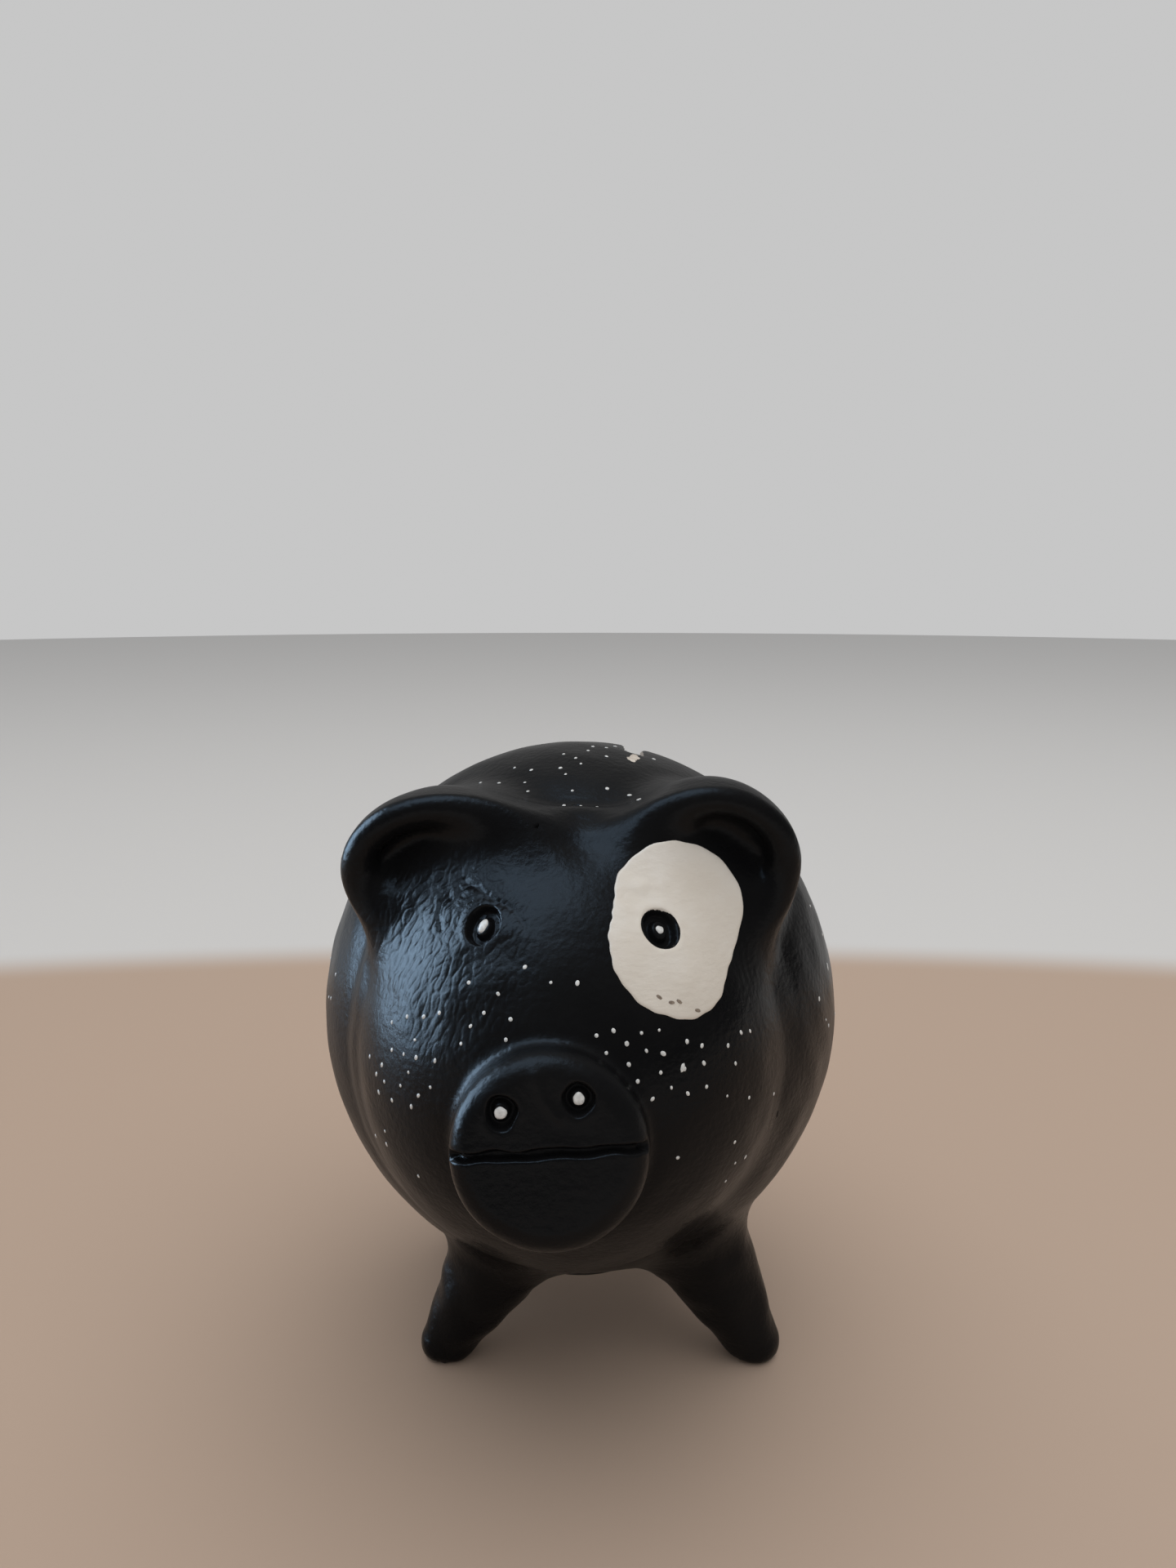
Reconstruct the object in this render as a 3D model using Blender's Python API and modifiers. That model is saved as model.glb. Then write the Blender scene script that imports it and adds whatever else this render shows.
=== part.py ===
"""A hand-built clay piggy bank, as the separate pieces that are luted together with slip.

Metres, +Z up. The pig faces -Y, so its own left is +X. The origin is on the floor, under the middle
of the whole bank. Shapes and places of the clay are given in body radii from the body's centre, as
(across, forward, up), and at() turns them into metres. The bank is hand made, so it isn't symmetric.
"""

import math

import bmesh
import bpy
from mathutils import Matrix, Vector

# Driving dimensions.
BODY_RADIUS = 0.050
BALL_SIZE = (1.0, 1.0, 1.03)
WALL = 0.0055
GAP = 0.0003
BELLY_CLEARANCE = 0.33
SNOUT_REACH = 1.48

# The round clay: rings and segments are shared, so that neighbouring facets run parallel.
SEGMENTS = 48
RINGS = SEGMENTS // 2
QUARTER_RINGS = RINGS // 2
NECK_RING = 4
EAR_SEGMENTS = 32
LEG_SEGMENTS = 20
LEG_STEPS = 7
STAMP_SEGMENTS = 20
EDGE_STEPS = 5
SMOOTH_UP_TO = math.radians(40)
MERGE_DISTANCE = 0.00001

# The head is an egg that overlaps the ball, and the snout is a disc tipped up from its front.
HEAD_CENTRE = (-0.03, 0.47, 0.045)
HEAD_SIZE = (0.76, 0.82, 0.81)
SNOUT_CENTRE = (-0.083, SNOUT_REACH - 0.05, 0.056)
SNOUT_RADIUS = 0.284
SNOUT_DEPTH = 0.40
SNOUT_TILT = math.radians(12)
SNOUT_EDGE = 0.0022

# Marks made with a cut tube and with a blade, in metres.
STAMP_OUTER = 0.0026
STAMP_INNER = 0.0013
STAMP_DEPTH = 0.0014
MOUTH_WIDTH = 0.0016
MOUTH_DEPTH = 0.0013
MOUTH_RISE = 0.02
MOUTH_TURN = math.radians(3)
NOSTRILS = ((-0.135, 0.135), (0.087, 0.173))
EYE_SPREAD = 0.28
EYE_FORWARD = 0.95
EYE_UP = 0.585

# Ears: (centre, size, turn about the forward axis). Each rim's top leans forward by EAR_LEAN.
EAR_WALL = 0.0048
EAR_RIM_FORWARD = 0.03
EAR_LEAN = math.radians(14)
EARS = {
    "left_ear": ((0.445, 0.64, 0.715), (0.305, 0.44, 0.285), math.radians(8)),
    "right_ear": ((-0.455, 0.64, 0.705), (0.345, 0.44, 0.265), math.radians(-4)),
}

# Legs: (sole, hip). The hips lie inside the ball, which trims each leg's top.
SHANK_RADIUS = 0.10
HIP_FLARE = 0.17
HIP_DEPTH = -0.71
SOLE_RADIUS = 0.075
SOLE_EDGE = 0.0020
SOLE_UNDERCUT = 0.0030
LEGS = {
    "front_left_leg": ((0.72, 0.30), (0.42, 0.22, HIP_DEPTH)),
    "front_right_leg": ((-0.55, 0.30), (-0.30, 0.22, HIP_DEPTH)),
    "rear_left_leg": ((0.52, -0.50), (0.34, -0.34, HIP_DEPTH)),
    "rear_right_leg": ((-0.50, -0.50), (-0.32, -0.34, HIP_DEPTH)),
}

# A flat spiral of clay on the rump, in metres and turns.
TAIL_WIRE = 0.0018
TAIL_OUTER = 0.0066
TAIL_PITCH = 0.0042
TAIL_TURNS = 1.3
TAIL_POINTS = 22
TAIL_UP = 0.10
TAIL_LIFT = 0.0001

# The coin slot runs fore and aft, off centre. It and the belly hole are cut across the bowls' seam.
SLOT_WIDTH = 0.0048
SLOT_LENGTH = 0.037
SLOT_ACROSS = 0.21
SLOT_FORWARD = -0.32
BELLY_HOLE_RADIUS = 0.0125
PLUG_FLANGE_RADIUS = 0.0145
PLUG_FLANGE_THICKNESS = 0.0020
PLUG_NECK = 0.0085
PLUG_CHAMFER = 0.0012
PLUG_DISH = 0.0010
PLUG_SEGMENTS = 40

TAIL_REACH = BODY_RADIUS + GAP + 2 * TAIL_WIRE
BODY_CENTRE = Vector(
    (
        0,
        (SNOUT_REACH * BODY_RADIUS - TAIL_REACH) / 2,
        (BELLY_CLEARANCE + BALL_SIZE[2]) * BODY_RADIUS,
    )
)
FORWARD = Vector((0, -1, 0))
FACING = Matrix.Rotation(math.radians(90), 4, "X")

BLACK_PAINT = (0.012, 0.012, 0.014, 1)
PAINT_ROUGHNESS = 0.42
BLACK_RUBBER = (0.02, 0.02, 0.02, 1)
RUBBER_ROUGHNESS = 0.7


def at(across, forward, up):
    """A place given in body radii from the body's centre, in metres."""
    return BODY_CENTRE + BODY_RADIUS * Vector((across, -forward, up))


def new_collection(name):
    collection = bpy.data.collections.new(name)
    bpy.context.scene.collection.children.link(collection)
    return collection


def new_object(name, data, collection, matrix=Matrix.Identity(4)):
    obj = bpy.data.objects.new(name, data)
    obj.matrix_world = matrix
    collection.objects.link(obj)
    return obj


def new_cutter(name, mesh, matrix=Matrix.Identity(4)):
    cutter = new_object(name, mesh, CUTTERS, matrix)
    cutter.hide_render = True
    cutter.display_type = "WIRE"
    return cutter


def dress(obj, colour, roughness):
    """Gives a piece its own material."""
    material = bpy.data.materials.new(obj.name)
    material.use_nodes = True
    shader = material.node_tree.nodes["Principled BSDF"]
    shader.inputs["Base Color"].default_value = colour
    shader.inputs["Roughness"].default_value = roughness
    shader.inputs["Metallic"].default_value = 0
    obj.data.materials.append(material)
    return obj


def painted_clay(obj):
    return dress(obj, BLACK_PAINT, PAINT_ROUGHNESS)


def cut(obj, *cutters):
    for cutter in cutters:
        boolean = obj.modifiers.new("less " + cutter.name, "BOOLEAN")
        boolean.operation = "DIFFERENCE"
        boolean.solver = "EXACT"
        boolean.object = cutter


def mesh_from(build):
    """A mesh filled by a function that adds its shapes to a bmesh."""
    shape = bmesh.new()
    build(shape)
    mesh = bpy.data.meshes.new("shape")
    shape.to_mesh(mesh)
    shape.free()
    mesh.shade_smooth()
    mesh.set_sharp_from_angle(angle=SMOOTH_UP_TO)
    return mesh


def egg(size, grow=0.0, segments=SEGMENTS):
    """An ellipsoid of semi-axes in body radii, grown by metres, with its poles front and back."""
    half = [BODY_RADIUS * value + grow for value in (size[0], size[2], size[1])]
    matrix = FACING @ Matrix.Diagonal((*half, 1))

    def build(shape):
        bmesh.ops.create_uvsphere(
            shape, u_segments=segments, v_segments=segments // 2, radius=1, matrix=matrix
        )

    return mesh_from(build)


def rod(radius, length, segments=SEGMENTS):
    """A cylinder along local Z, centred on its origin."""

    def build(shape):
        bmesh.ops.create_cone(
            shape, cap_ends=True, segments=segments, radius1=radius, radius2=radius, depth=length
        )

    return mesh_from(build)


def block(size):
    def build(shape):
        bmesh.ops.create_cube(shape, size=1, matrix=Matrix.Diagonal((*size, 1)))

    return mesh_from(build)


def turned(name, profile, matrix, segments=SEGMENTS, ring=False):
    """A profile of (radius, height) points, from the top down its outer side, turned about local Z."""
    mesh = bpy.data.meshes.new(name)
    edges = [(index, index + 1) for index in range(len(profile) - 1)]
    if ring:
        edges.append((len(profile) - 1, 0))
    mesh.from_pydata([(radius, 0, height) for radius, height in profile], edges, [])
    obj = new_object(name, mesh, PIECES, matrix)
    screw = obj.modifiers.new("turn", "SCREW")
    screw.steps = segments
    screw.render_steps = segments
    screw.use_merge_vertices = True
    screw.merge_threshold = MERGE_DISTANCE
    screw.use_smooth_shade = True
    return obj


def arc(radius, first_ring, last_ring):
    """Points on a circle, counted in the ball's rings from its front pole."""
    step = 1 if last_ring > first_ring else -1
    angles = [math.pi * ring / RINGS for ring in range(first_ring, last_ring + step, step)]
    return [(radius * math.sin(angle), radius * math.cos(angle)) for angle in angles]


def pointing(direction, place):
    """A matrix that stands local Z along a direction, at a place."""
    turn = Vector(direction).to_track_quat("Z", "Y").to_matrix().to_4x4()
    return Matrix.Translation(place) @ turn


def seam_gap(points, side):
    """Pulls the rim points of a bowl back from the seam by half the gap."""
    return [(radius, height if abs(height) > GAP else side * GAP / 2) for radius, height in points]


def build_bowls():
    """Two pinched bowls joined rim to rim: the front one has the neck hole, the rear one the slot."""
    matrix = Matrix.Translation(BODY_CENTRE) @ Matrix.Diagonal((*BALL_SIZE, 1)) @ FACING
    outer = arc(BODY_RADIUS, NECK_RING, QUARTER_RINGS)
    inner = arc(BODY_RADIUS - WALL, QUARTER_RINGS, NECK_RING)
    front = turned("front_bowl", seam_gap(outer + inner, 1), matrix, ring=True)

    inner = arc(BODY_RADIUS - WALL, RINGS, QUARTER_RINGS)
    outer = arc(BODY_RADIUS, QUARTER_RINGS, RINGS)
    rear = turned("rear_bowl", seam_gap(inner + outer, -1), matrix)

    belly_hole = new_cutter(
        "belly_hole", rod(BELLY_HOLE_RADIUS, BODY_RADIUS), Matrix.Translation(at(0, 0, -1))
    )
    slot_size = (SLOT_WIDTH, SLOT_LENGTH, 2 * BODY_RADIUS)
    slot = new_cutter("coin_slot", block(slot_size), Matrix.Translation(at(SLOT_ACROSS, SLOT_FORWARD, 1)))
    for bowl in (front, rear):
        cut(bowl, belly_hole, slot)
        painted_clay(bowl)


def stamp_mesh():
    """A disc that stands as far above the surface as it is pressed into it."""

    def build(shape):
        bmesh.ops.create_cone(
            shape, cap_ends=True, segments=STAMP_SEGMENTS, radius1=STAMP_OUTER,
            radius2=STAMP_OUTER, depth=2 * STAMP_DEPTH,
        )

    return mesh_from(build)


def new_stamp(name, place, direction):
    """A ring cutter pressed STAMP_DEPTH into a surface, with its core left standing."""
    matrix = pointing(direction, place)
    stamp = new_cutter(name, stamp_mesh(), matrix)
    core = new_cutter(name + "_core", rod(STAMP_INNER, 4 * STAMP_DEPTH, STAMP_SEGMENTS), matrix)
    cut(stamp, core)
    return stamp


def on_head(across, forward, up):
    """The place on the head's surface along the line from its centre, and the outward normal there."""
    offset = Vector((across - HEAD_CENTRE[0], forward - HEAD_CENTRE[1], up - HEAD_CENTRE[2]))
    size = Vector(HEAD_SIZE)
    reach = math.sqrt(sum((o / s) ** 2 for o, s in zip(offset, size)))
    offset /= reach
    normal = Vector((offset[0] / size[0] ** 2, -offset[1] / size[1] ** 2, offset[2] / size[2] ** 2))
    return at(*(Vector(HEAD_CENTRE) + offset)), normal.normalized()


def build_head():
    """A hollow pinched dome, trimmed where it lands on the front bowl, with two stamped eyes."""
    head = new_object("head_dome", egg(HEAD_SIZE), PIECES, Matrix.Translation(at(*HEAD_CENTRE)))
    hollow = new_cutter("head_hollow", egg(HEAD_SIZE, -WALL), Matrix.Translation(at(*HEAD_CENTRE)))
    cut(head, hollow, BALL)
    for side in (-1, 1):
        place, normal = on_head(HEAD_CENTRE[0] + side * EYE_SPREAD, EYE_FORWARD, EYE_UP)
        cut(head, new_stamp(f"eye_stamp_{side}", place, normal))
    painted_clay(head)


def build_snout():
    """A thick disc with a rounded edge, tipped up, with a cut mouth and two stamped nostrils."""
    radius = SNOUT_RADIUS * BODY_RADIUS
    depth = SNOUT_DEPTH * BODY_RADIUS
    normal = Matrix.Rotation(-SNOUT_TILT, 3, "X") @ FORWARD
    edge = [math.pi / 2 * step / EDGE_STEPS for step in range(EDGE_STEPS, -1, -1)]
    rounded = [
        (radius - SNOUT_EDGE * (1 - math.cos(a)), -SNOUT_EDGE * (1 - math.sin(a))) for a in edge
    ]
    profile = [(0, 0)] + rounded + [(radius, -depth), (0, -depth)]
    tilt = Matrix.Rotation(-SNOUT_TILT, 4, "X")
    face = Matrix.Translation(at(*SNOUT_CENTRE)) @ tilt @ FACING
    snout = turned("snout", profile, face)

    mouth_size = (3 * radius, MOUTH_WIDTH, 2 * MOUTH_DEPTH)
    mouth_place = Matrix.Translation((0, MOUTH_RISE * BODY_RADIUS, 0)) @ Matrix.Rotation(MOUTH_TURN, 4, "Z")
    cut(snout, new_cutter("mouth_blade", block(mouth_size), face @ mouth_place), HEAD_SOLID)
    for index, (across, up) in enumerate(NOSTRILS):
        place = face @ Vector((across * BODY_RADIUS, up * BODY_RADIUS, 0))
        cut(snout, new_stamp(f"nostril_stamp_{index}", place, normal))
    painted_clay(snout)


def build_ears():
    """Hoods of clay: half cups that open forward, trimmed where they stand on the head and the ball."""
    for name, (centre, size, turn) in EARS.items():
        matrix = Matrix.Translation(at(*centre)) @ Matrix.Rotation(turn, 4, "Y")
        ear = new_object(name, egg(size, segments=EAR_SEGMENTS), PIECES, matrix)
        hollow = new_cutter(name + "_hollow", egg(size, -EAR_WALL, EAR_SEGMENTS), matrix)
        box = 2 * BODY_RADIUS
        lean = Matrix.Rotation(EAR_LEAN, 4, "X")
        front = matrix @ lean @ Matrix.Translation((0, -EAR_RIM_FORWARD * BODY_RADIUS - box / 2, 0))
        mouth = new_cutter(name + "_mouth", block((box, box, box)), front)
        cut(ear, hollow, mouth, HEAD_SOLID, BALL)
        painted_clay(ear)


def build_legs():
    """Pegs that flare into the belly, with a flat sole on the floor."""
    floor_size = 4 * BODY_RADIUS
    floor = new_cutter(
        "floor", block((floor_size, floor_size, BODY_RADIUS)), Matrix.Translation((0, 0, -BODY_RADIUS / 2))
    )
    for name, (sole, hip) in LEGS.items():
        bottom = at(*sole, -BODY_CENTRE.z / BODY_RADIUS)
        axis = at(*hip) - bottom
        length = axis.length
        steps = [step / LEG_STEPS for step in range(LEG_STEPS, 0, -1)]
        sides = [
            (BODY_RADIUS * (SHANK_RADIUS + HIP_FLARE * t**2), t * length) for t in steps
        ]
        foot = [
            (BODY_RADIUS * SHANK_RADIUS, SOLE_EDGE),
            (BODY_RADIUS * SOLE_RADIUS, -SOLE_EDGE / 2),
            (0, -SOLE_UNDERCUT),
        ]
        profile = [(0, length)] + sides + foot
        leg = turned(name, profile, pointing(axis, bottom), LEG_SEGMENTS)
        cut(leg, BALL, floor)
        painted_clay(leg)


def build_tail():
    """A flat spiral that lies on the rump at the same distance from the ball's centre all along."""
    curve = bpy.data.curves.new("tail", "CURVE")
    curve.dimensions = "3D"
    curve.bevel_depth = TAIL_WIRE
    curve.bevel_resolution = 2
    curve.use_fill_caps = True
    spline = curve.splines.new("POLY")
    spline.points.add(TAIL_POINTS - 1)
    middle = at(0, -1, TAIL_UP) - BODY_CENTRE
    distance = BODY_RADIUS + GAP + TAIL_WIRE + TAIL_LIFT
    for index, point in enumerate(spline.points):
        turns = TAIL_TURNS * index / (TAIL_POINTS - 1)
        radius = TAIL_OUTER - TAIL_PITCH * turns
        angle = 2 * math.pi * turns
        offset = Vector((radius * math.cos(angle), 0, radius * math.sin(angle)))
        place = BODY_CENTRE + (middle + offset).normalized() * distance
        point.co = (*place, 1)
    painted_clay(new_object("tail", curve, PIECES))


def build_stopper():
    """A rubber plug: a dished flange outside the belly and a neck through the wall."""
    neck_radius = BELLY_HOLE_RADIUS - GAP
    drop = BALL_SIZE[2] * math.sqrt(BODY_RADIUS**2 - BELLY_HOLE_RADIUS**2)
    seat = BODY_CENTRE.z - drop - GAP
    profile = [
        (0, PLUG_NECK - PLUG_CHAMFER),
        (neck_radius - 3 * PLUG_CHAMFER, PLUG_NECK - PLUG_CHAMFER),
        (neck_radius - 2 * PLUG_CHAMFER, PLUG_NECK),
        (neck_radius - PLUG_CHAMFER, PLUG_NECK),
        (neck_radius, PLUG_NECK - PLUG_CHAMFER),
        (neck_radius, 0),
        (PLUG_FLANGE_RADIUS, 0),
        (PLUG_FLANGE_RADIUS, -PLUG_FLANGE_THICKNESS / 2),
        (PLUG_FLANGE_RADIUS - PLUG_CHAMFER, -PLUG_FLANGE_THICKNESS),
        (PLUG_FLANGE_RADIUS / 2, -PLUG_FLANGE_THICKNESS),
        (PLUG_FLANGE_RADIUS / 3, PLUG_DISH - PLUG_FLANGE_THICKNESS),
        (0, PLUG_DISH - PLUG_FLANGE_THICKNESS),
    ]
    place = Matrix.Translation((BODY_CENTRE.x, BODY_CENTRE.y, seat))
    dress(turned("coin_stopper", profile, place, PLUG_SEGMENTS), BLACK_RUBBER, 0.7)


for old in list(bpy.data.objects):
    bpy.data.objects.remove(old)
PIECES = new_collection("piggy_bank")
CUTTERS = new_collection("cutters")
BALL = new_cutter("ball", egg(BALL_SIZE, GAP), Matrix.Translation(BODY_CENTRE))
HEAD_SOLID = new_cutter("head_solid", egg(HEAD_SIZE, GAP), Matrix.Translation(at(*HEAD_CENTRE)))

build_bowls()
build_head()
build_snout()
build_ears()
build_legs()
build_tail()
build_stopper()
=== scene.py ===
"""The looks of a hand-built, black-painted clay piggy bank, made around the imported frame.

The clay is one smooth field of signed distance: ball, head, snout, ears, legs and tail, melted together
as wet clay is. The field is meshed once and then split into one closed piece for each part of the bank,
so no seam shows between them. Places are in body radii from the body's centre, with the pig facing -Y.
"""

import math

import bmesh
import bpy
import numpy as np
from mathutils import Matrix, Vector


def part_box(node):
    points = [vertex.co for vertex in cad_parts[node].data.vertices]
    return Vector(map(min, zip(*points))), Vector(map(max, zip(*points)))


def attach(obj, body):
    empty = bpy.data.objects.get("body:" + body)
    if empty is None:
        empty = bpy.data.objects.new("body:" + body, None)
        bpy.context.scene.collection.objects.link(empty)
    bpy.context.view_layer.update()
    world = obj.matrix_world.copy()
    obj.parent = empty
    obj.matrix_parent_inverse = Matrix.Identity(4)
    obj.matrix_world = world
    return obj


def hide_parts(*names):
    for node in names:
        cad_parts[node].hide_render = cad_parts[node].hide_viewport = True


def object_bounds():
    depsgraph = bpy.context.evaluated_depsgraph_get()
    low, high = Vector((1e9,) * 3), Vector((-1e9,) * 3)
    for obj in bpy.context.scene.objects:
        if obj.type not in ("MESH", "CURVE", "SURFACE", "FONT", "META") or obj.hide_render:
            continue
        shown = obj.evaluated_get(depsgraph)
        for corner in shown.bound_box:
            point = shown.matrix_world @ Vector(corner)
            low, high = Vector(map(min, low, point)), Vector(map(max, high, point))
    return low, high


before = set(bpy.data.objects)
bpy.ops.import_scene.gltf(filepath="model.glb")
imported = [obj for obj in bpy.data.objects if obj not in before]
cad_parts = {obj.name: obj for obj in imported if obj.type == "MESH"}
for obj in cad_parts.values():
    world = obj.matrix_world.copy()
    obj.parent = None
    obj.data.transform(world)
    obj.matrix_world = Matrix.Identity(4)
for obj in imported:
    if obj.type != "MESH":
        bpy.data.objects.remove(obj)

CAD_LOW, CAD_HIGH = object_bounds()

# The frame's driving sizes. The rear bowl's box gives the ball's radius and its centre.
BALL_SIZE = np.array((1.0, 1.0, 1.03))
BOWL_LOW, BOWL_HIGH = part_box("rear_bowl")
RADIUS = (BOWL_HIGH.x - BOWL_LOW.x) / 2
CENTRE = np.array(
    ((BOWL_LOW.x + BOWL_HIGH.x) / 2, BOWL_LOW.y, BOWL_HIGH.z - BALL_SIZE[2] * RADIUS)
)
MM = 0.001 / RADIUS
FLOOR = -CENTRE[2] / RADIUS

SEED = 7
GRID_STEP = 0.75 * MM
SLOPE_STEP = 0.03 * MM
GRID_MARGIN = 0.06
WAVE_COUNT = 9

# Points move by their distance over the field's slope. These are the least that its square is taken to be, for
# the clay and for a border, and the least that its share along a drop is taken to be.
GENTLEST_CLAY = 0.2
GENTLEST_BORDER = 0.1
GENTLEST_DROP = 0.35


def at(across, forward, up):
    """A place given in body radii as the pig's left, front and top."""
    return np.array((across, -forward, up))


def to_metres(points):
    return CENTRE + RADIUS * np.asarray(points)


# The parts, as in the CAD.
WALL = 5.5 * MM
HEAD_CENTRE = at(-0.03, 0.47, 0.045)
HEAD_SIZE = np.array((0.76, 0.82, 0.81))
HEAD = (HEAD_CENTRE, HEAD_SIZE)
BALL = (np.zeros(3), BALL_SIZE)
SNOUT_FACE = at(-0.083, 1.43, 0.056)
SNOUT_RADIUS = 0.290
SNOUT_DEPTH = 0.40
SNOUT_ROOT = 0.30
SNOUT_EDGE = 3.8 * MM
SNOUT_TILT = math.radians(12)
CREST_FORWARD = 0.62
CREST_DEPTH = 0.045
CREST_RADIUS = 0.045
CREST_RISE = 0.055
CREST_RISE_REACH = (0.2, 0.8)
EAR_WALL = 4.6 * MM
EAR_RIM_FORWARD = 0.03
EAR_LEAN = math.radians(14)
EAR_SLOPE = (0.3, 0.8)
EAR_FRONT = 0.05
EAR_DEPTH = 0.05
EAR_FILLET = 0.09
EAR_ROOT = at(0, -0.05, -0.16)
EARS = {
    "left_ear": (at(0.445, 0.64, 0.715), (0.297, 0.44, 0.285), math.radians(8)),
    "right_ear": (at(-0.455, 0.64, 0.705), (0.337, 0.44, 0.265), math.radians(-4)),
}
SHANK_RADIUS = 0.105
HIP_FLARE = 0.15
HIP_DEPTH = -0.71
ANKLE_HEIGHT = 0.055
SOLE_EDGE = 2 * MM
LEGS = {
    "front_left_leg": (at(0.684, 0.31, 0), at(0.35, 0.24, HIP_DEPTH)),
    "front_right_leg": (at(-0.525, 0.31, 0), at(-0.18, 0.24, HIP_DEPTH)),
    "rear_left_leg": (at(0.52, -0.50, 0), at(0.26, -0.30, HIP_DEPTH)),
    "rear_right_leg": (at(-0.50, -0.50, 0), at(-0.24, -0.30, HIP_DEPTH)),
}
TAIL_WIRE = 1.8 * MM
TAIL_OUTER = 6.6 * MM
TAIL_PITCH = 4.2 * MM
TAIL_TURNS = 1.3
TAIL_POINTS = 22
TAIL_TAPER = 0.4
TAIL_UP = 0.10
TAIL_ROOT = 0.95
TAIL_REACH = 0.3

# How widely the wet clay was smoothed over each joint.
NECK_FILLET = 0.035
CREST_FILLET = 0.08
FILLETS = {"snout": 0.04, "tail": 0.025}
EAR_FILLETS = (0.13, 0.24)
EAR_FILLET_REACH = (0.60, 0.76)
LEG_FILLET = 0.13

# Openings, in body radii.
SLOT_CENTRE = (0.21, 0.32)
SLOT_HALF = (1.9 * MM, 18.5 * MM)
SLOT_CORNER = 1.0 * MM
HOLE_RADIUS = 12.5 * MM
LIP_WIDTH = 0.5 * MM
LIP_DROP = 0.25 * MM


def egg(points, centre, size):
    """Signed distance to an ellipsoid, true near its surface."""
    offset = (points - centre) / size
    reach = np.linalg.norm(offset, axis=1)
    slope = np.linalg.norm(offset / size, axis=1)
    return reach * (reach - 1) / np.maximum(slope, 1e-6)


def melt(one, other, width):
    """The union of two distances, with a fillet between them."""
    overlap = np.maximum(width - np.abs(one - other), 0) / width
    return np.minimum(one, other) - overlap**2 * width / 4


def step_up(value, low, high):
    """0 below low, 1 above high, and smooth between."""
    share = np.clip((value - low) / (high - low), 0, 1)
    return share * share * (3 - 2 * share)


def turn_about(axis, angle):
    """A turn about an axis by name, as a matrix."""
    return np.array(Matrix.Rotation(angle, 3, axis))


def unit(vectors):
    """Vectors of length 1 the same way, for one vector or one in each row."""
    return vectors / np.linalg.norm(vectors, axis=-1, keepdims=True)


def turns_round(count):
    """Evenly spaced angles round a circle."""
    return 2 * math.pi * np.arange(count) / count


def oval(turn, wide, long=1):
    """The reach of an oval from its middle at an angle."""
    return 1 / np.hypot(np.cos(turn) / wide, np.sin(turn) / long)


SNOUT_TURN = turn_about("X", -SNOUT_TILT)
SNOUT_AHEAD = SNOUT_TURN @ at(0, 1, 0)
SNOUT_UP = SNOUT_TURN @ at(0, 0, 1)


def on_snout(points):
    """Places on the snout's face, as (across, up, ahead of it)."""
    offset = points - SNOUT_FACE
    return offset[:, 0], offset @ SNOUT_UP, offset @ SNOUT_AHEAD


def snout(points):
    """A thick disc with a rounded edge."""
    across, up, ahead = on_snout(points)
    side = np.hypot(across, up) - SNOUT_RADIUS + SNOUT_EDGE
    ends = np.abs(ahead + SNOUT_DEPTH / 2) - SNOUT_DEPTH / 2 + SNOUT_EDGE
    outside = np.hypot(np.maximum(side, 0), np.maximum(ends, 0))
    return np.minimum(np.maximum(side, ends), 0) + outside - SNOUT_EDGE


def head(points):
    """A pinched dome, with a soft crest where it was turned over to meet the ball."""
    dome = egg(points, HEAD_CENTRE, HEAD_SIZE)
    radius = CREST_RADIUS + CREST_RISE * step_up(points[:, 2], *CREST_RISE_REACH)
    crest = np.hypot(dome + CREST_DEPTH, points[:, 1] + CREST_FORWARD) - radius
    return melt(dome, crest, CREST_FILLET)


def ear(points, centre, size, turn):
    """A hood: a rolled rim round a pad of clay whose front slopes down and inwards to the brow."""
    local = (points - centre) @ turn_about("Y", turn)
    shell = egg(local, 0, np.array(size) - EAR_WALL / 2)
    ahead = local @ (turn_about("X", EAR_LEAN) @ at(0, 1, 0)) - EAR_RIM_FORWARD
    rim = np.hypot(shell, np.maximum(ahead, 0)) - EAR_WALL / 2
    outwards, upwards = EAR_SLOPE
    slope = outwards * math.copysign(1, centre[0]) * local[:, 0] + upwards * local[:, 2]
    wedge = (ahead + slope) / math.sqrt(1 + outwards**2 + upwards**2)
    face = melt(wedge, ahead + EAR_DEPTH, EAR_FILLET)
    pad = -melt(-np.maximum(shell, face), EAR_FRONT - ahead, EAR_FILLET)
    return melt(rim, pad, EAR_FILLET)


def leg(points, sole, hip):
    """A peg that flares towards the hip, cut flat by the floor."""
    ankle = sole * (1, 1, 0) + at(0, 0, FLOOR + ANKLE_HEIGHT)
    axis = hip - ankle
    along = (points - ankle) @ axis / (axis @ axis)
    share = np.clip(along, 0, 1)
    aside = np.linalg.norm(points - ankle - share[:, None] * axis, axis=1)
    side = aside - SHANK_RADIUS - HIP_FLARE * share
    return -melt(-side, points[:, 2] - FLOOR, SOLE_EDGE)


def tail_points():
    """A flat spiral that lies on the rump."""
    turns = TAIL_TURNS * np.linspace(0, 1, TAIL_POINTS)
    radius = TAIL_OUTER - TAIL_PITCH * turns
    angle = 2 * math.pi * turns
    across, up = radius * np.cos(angle), TAIL_UP + radius * np.sin(angle)
    places = np.column_stack((across, np.ones(TAIL_POINTS), up))
    return unit(places) * (1 + TAIL_WIRE)


TAIL = tail_points()


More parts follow.
